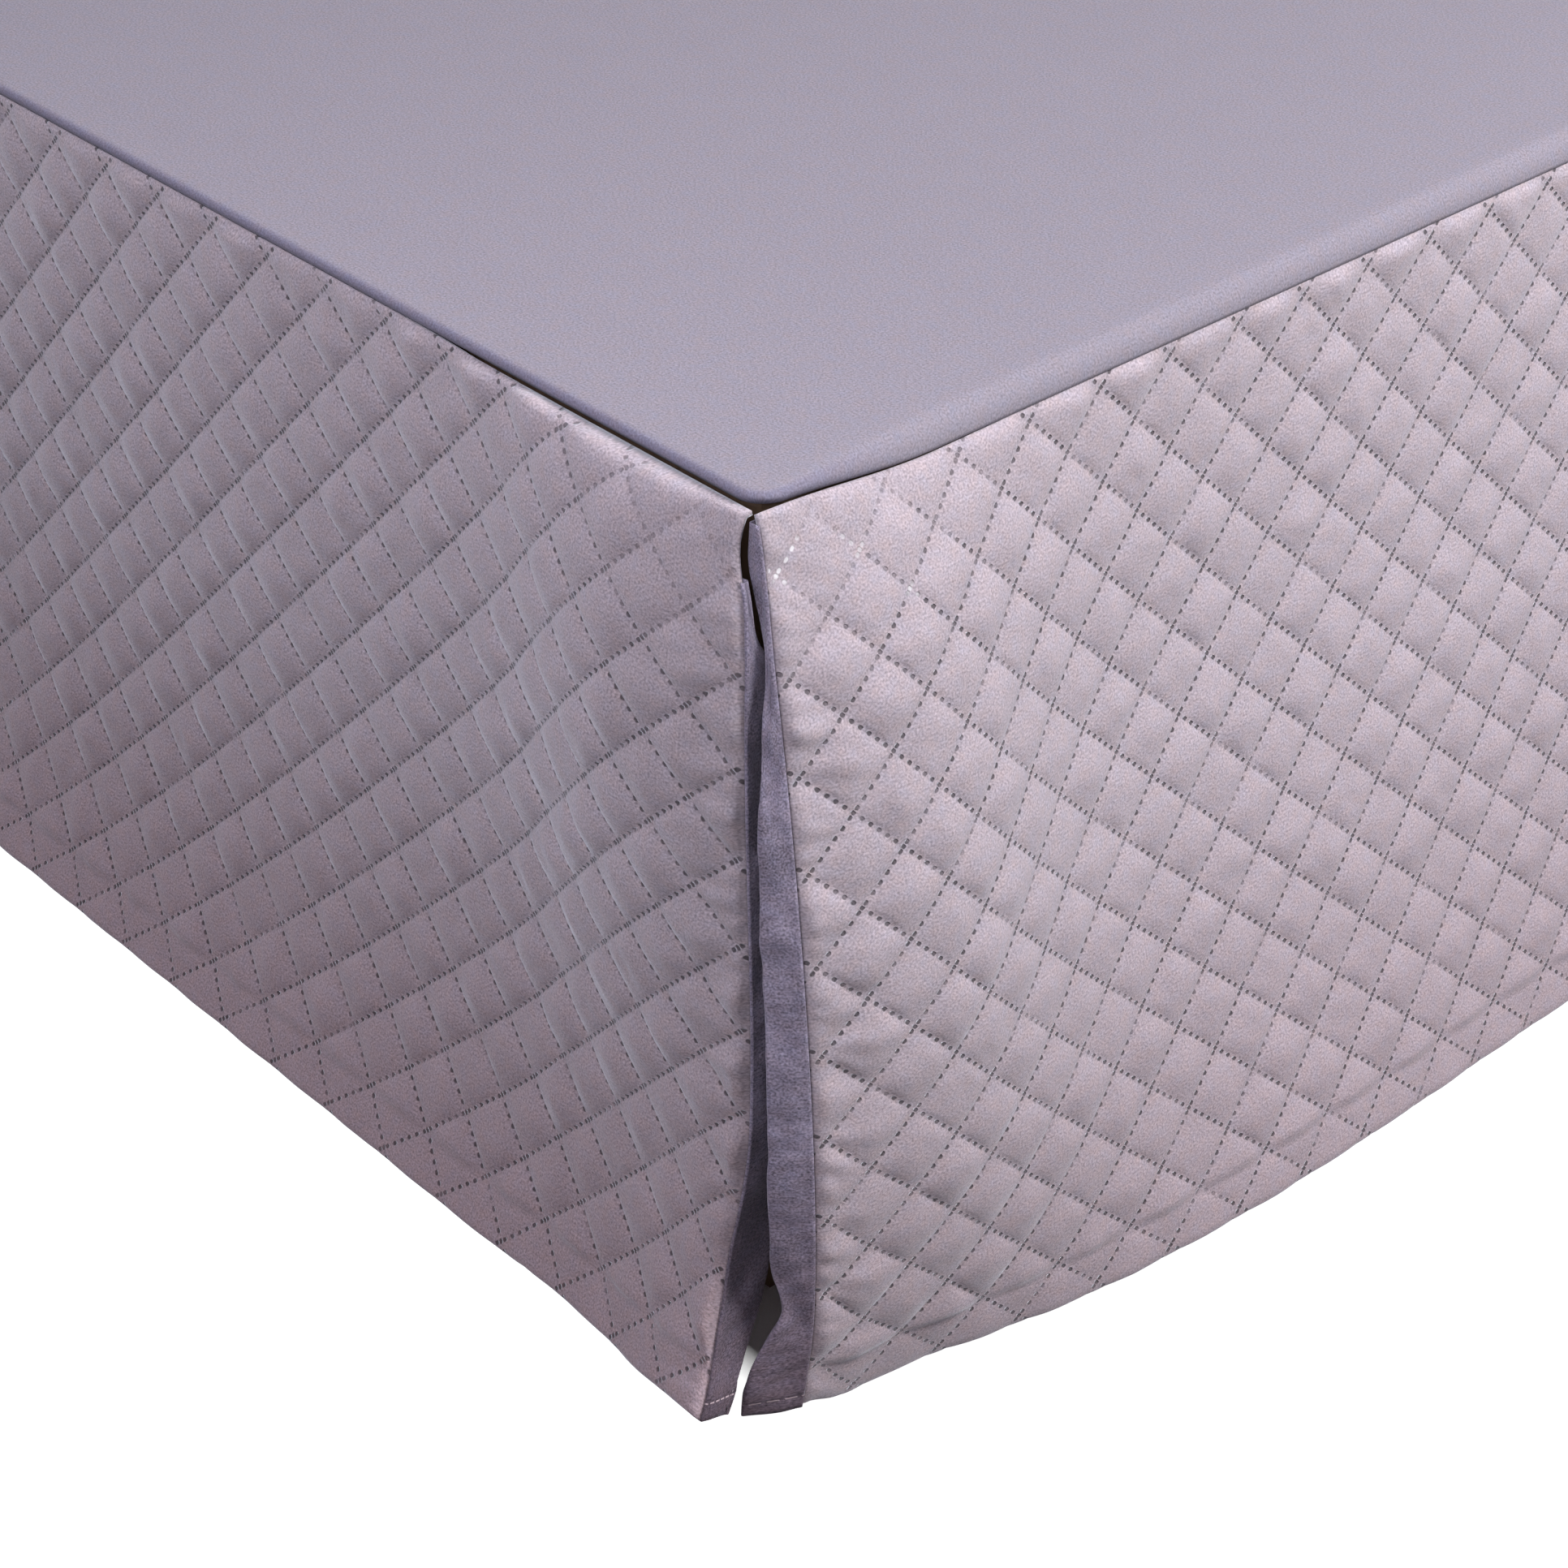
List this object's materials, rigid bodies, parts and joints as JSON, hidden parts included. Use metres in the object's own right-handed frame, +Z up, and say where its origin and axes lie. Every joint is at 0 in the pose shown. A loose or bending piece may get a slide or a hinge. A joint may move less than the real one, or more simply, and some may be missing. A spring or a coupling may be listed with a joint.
{
  "type": "bed skirt on bed base",
  "caption": "Quilted bed skirt with a plain deck, long drops parted at the foot corners and turned-in facing strips, hung on a plain bed base with legs.",
  "frame": {"origin": "middle of the whole part's box, on the floor under the legs", "axes": "+Z up, +Y from the foot of the bed to its head, +X to the right seen from the foot"},
  "size_m": [1.1444, 1.9638, 0.3915],
  "materials": {
    "deck_cloth": "matt brushed microfibre twill",
    "quilted_cloth": "matt microfibre, pressed in diamonds",
    "facing_cloth": "matt dark twill",
    "base_wood": "plain satin"
  },
  "bodies": {
    "root": {"deck": "deck_cloth", "drop_foot": "quilted_cloth", "drop_side_right": "quilted_cloth", "drop_side_left": "quilted_cloth", "facing_foot_right": "facing_cloth", "facing_foot_left": "facing_cloth", "facing_side_right": "facing_cloth", "facing_side_left": "facing_cloth", "bed_base": "base_wood"}
  },
  "joints": []
}
